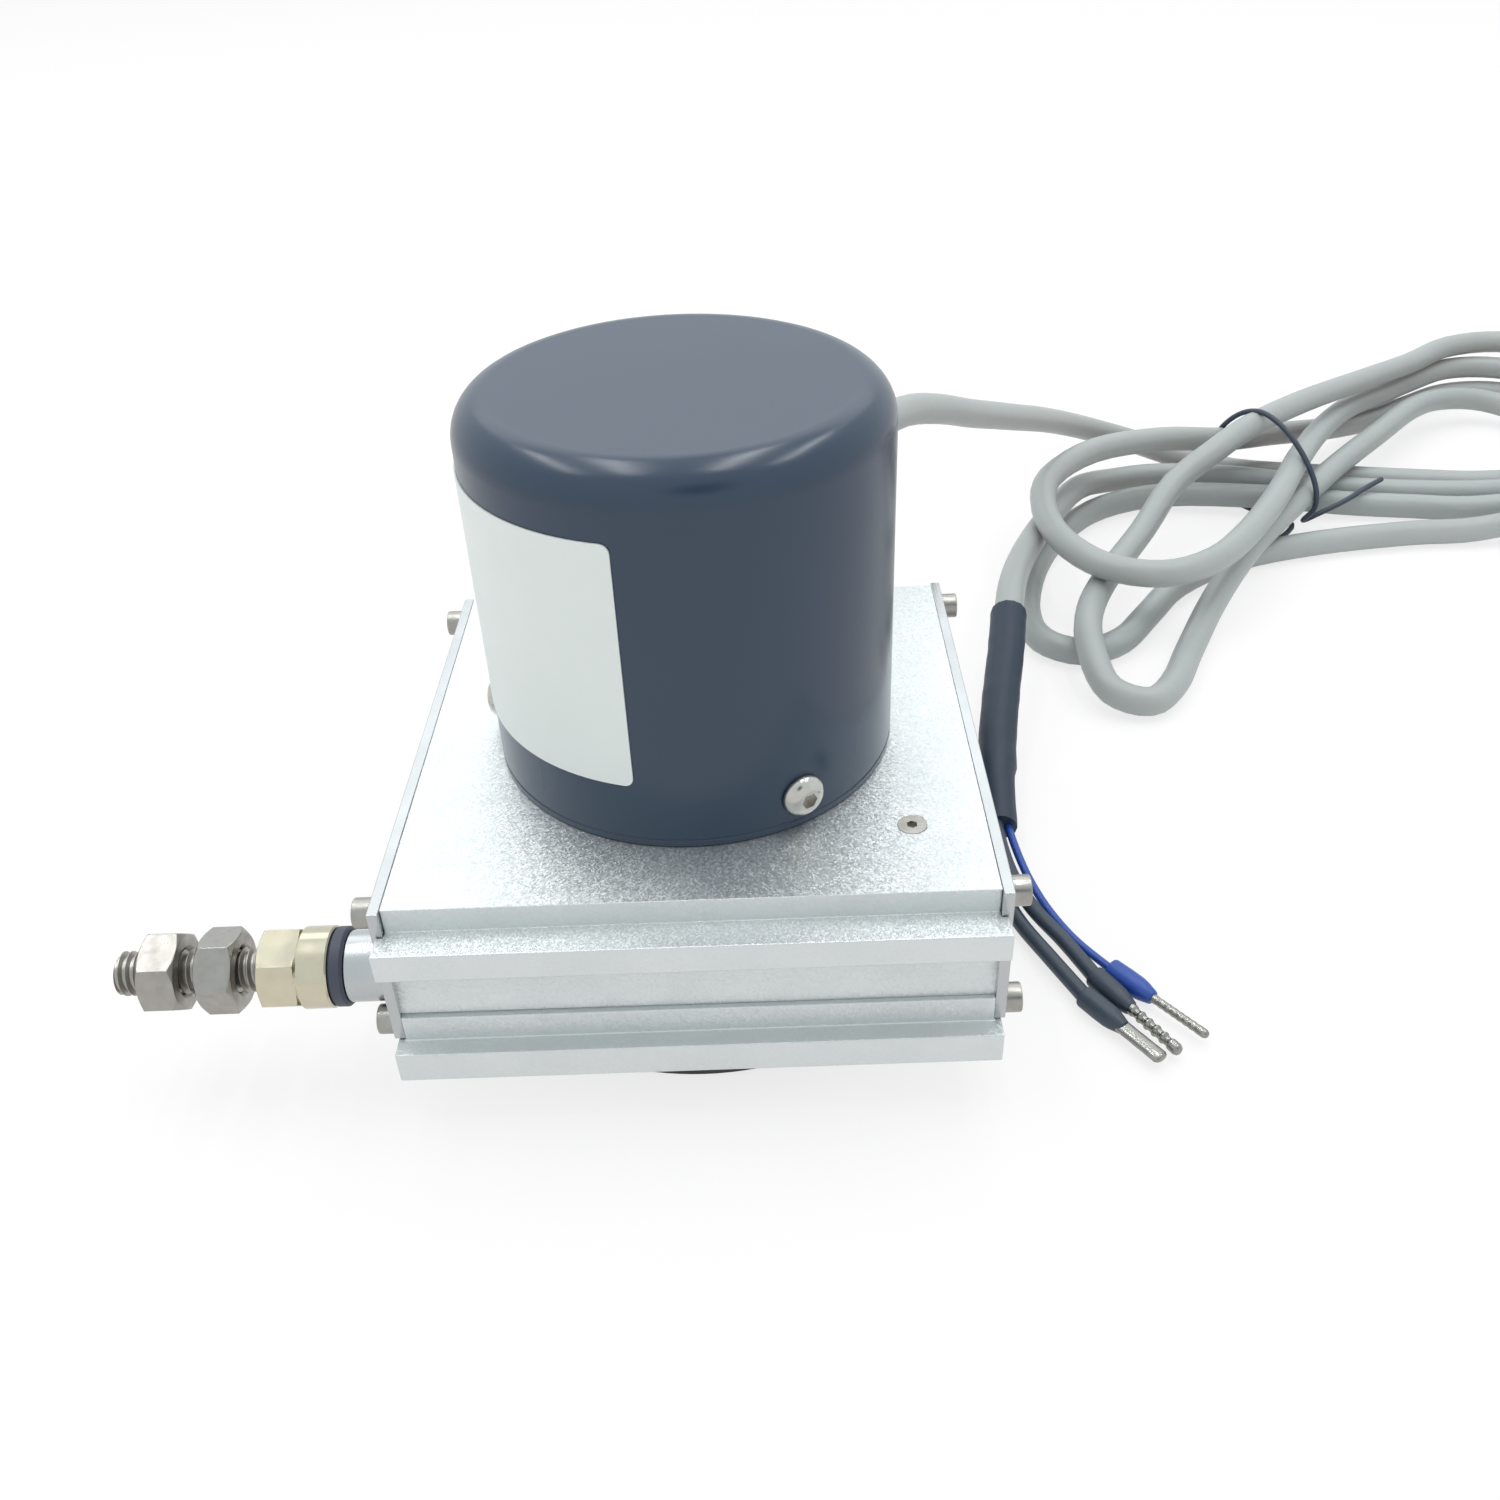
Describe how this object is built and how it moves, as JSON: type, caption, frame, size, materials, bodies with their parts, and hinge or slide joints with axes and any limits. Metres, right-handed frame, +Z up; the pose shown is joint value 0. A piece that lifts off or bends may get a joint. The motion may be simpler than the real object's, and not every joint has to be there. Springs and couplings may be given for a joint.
{
  "type": "draw wire encoder",
  "caption": "Draw wire encoder: slotted aluminium box with a spring-returned wire drum, a round capped encoder on top, a threaded pull stud and a bundled cable with ferruled leads.",
  "frame": {"origin": "under the drum's axis, on the flat underside of the round spring case that the sensor stands on", "axes": "+X along the extrusion to the right, away from the pull stud; +Y from the front groove to the rear groove and the cable; +Z up along the drum's axis"},
  "size_m": [0.308, 0.2345, 0.0864],
  "materials": {
    "blasted_aluminium": "fine-blasted natural anodised extrusion",
    "satin_aluminium": "satin turned or cut aluminium",
    "zinc_steel": "bright zinc-plated steel",
    "nickel_brass": "nickel-plated brass, warm satin",
    "cap_coating": "satin dark blue-grey coating",
    "label_film": "bare silver-grey film label",
    "black_plastic": "black moulded plastic",
    "black_rubber": "dark elastomer",
    "guide_plastic": "natural low-friction plastic",
    "rope_steel": "stranded stainless wire rope",
    "bearing_steel": "ground bearing steel",
    "spring_steel": "blue-grey spring steel strip",
    "board_laminate": "green solder-masked laminate",
    "disc_glass": "clear code disc",
    "crimp_brass": "plain brass",
    "cable_pvc": "satin grey PVC sheath",
    "sleeve_plastic": "dark blue-grey heat-shrink",
    "blue_insulation": "blue insulation",
    "black_insulation": "black insulation",
    "tinned_copper": "tin-plated copper"
  },
  "bodies": {
    "housing": {"housing_extrusion": "blasted_aluminium", "end_plate_left": "satin_aluminium", "end_plate_right": "satin_aluminium", "end_plate_screws_left": "zinc_steel", "end_plate_screws_right": "zinc_steel", "wire_outlet_boss": "satin_aluminium", "wire_guide_bush": "guide_plastic", "upper_bearing_outer": "bearing_steel", "upper_bearing_balls": "bearing_steel", "lower_bearing_outer": "bearing_steel", "lower_bearing_balls": "bearing_steel", "spring_case": "black_plastic", "case_screws": "zinc_steel", "power_spring": "spring_steel", "encoder_base": "satin_aluminium", "base_screws": "zinc_steel", "bearing_retainer": "spring_steel", "board_standoffs": "crimp_brass", "circuit_board": "board_laminate", "read_head": "black_plastic", "board_screws": "zinc_steel", "encoder_cap": "cap_coating", "cap_screws": "zinc_steel", "label": "label_film", "top_screw": "zinc_steel", "cable_grommet": "black_rubber", "signal_cable": "cable_pvc", "cable_hank": "cable_pvc", "twist_tie": "black_plastic", "cable_tail": "cable_pvc", "shrink_sleeve": "sleeve_plastic", "lead_blue": "blue_insulation", "lead_black_a": "black_insulation", "lead_black_b": "black_insulation", "ferrule_sleeve_blue": "blue_insulation", "ferrule_sleeves_black": "black_insulation", "ferrule_pins": "tinned_copper"},
    "drum": {"measuring_drum": "satin_aluminium", "drum_shaft": "bearing_steel", "wound_wire": "rope_steel", "upper_bearing_inner": "bearing_steel", "lower_bearing_inner": "bearing_steel", "spring_arbor": "satin_aluminium", "disc_hub": "satin_aluminium", "code_disc": "disc_glass"},
    "pull_end": {"bumper": "black_rubber", "wire_end_collar": "nickel_brass", "rope_ferrule": "crimp_brass", "pull_stud": "zinc_steel", "clamp_nuts": "zinc_steel", "draw_wire": "rope_steel"}
  },
  "joints": [
    {"name": "drum_spin", "type": "hinge", "parent": "housing", "child": "drum", "pos_m": [0, 0, 0.0188], "axis": [0, 0, -1], "range_deg": [0, 1800], "stiffness_Nm_per_rad": 0.004, "springref_deg": -1890.76, "deforming": ["power_spring"]},
    {"name": "wire_pull", "type": "slide", "parent": "housing", "child": "pull_end", "axis": [-1, 0, 0], "range_m": [0, 1.001], "deforming": ["draw_wire"]}
  ],
  "couplings": [
    {"joint": "wire_pull", "follows": "drum_spin", "m_per_rad": 0.031831}
  ]
}
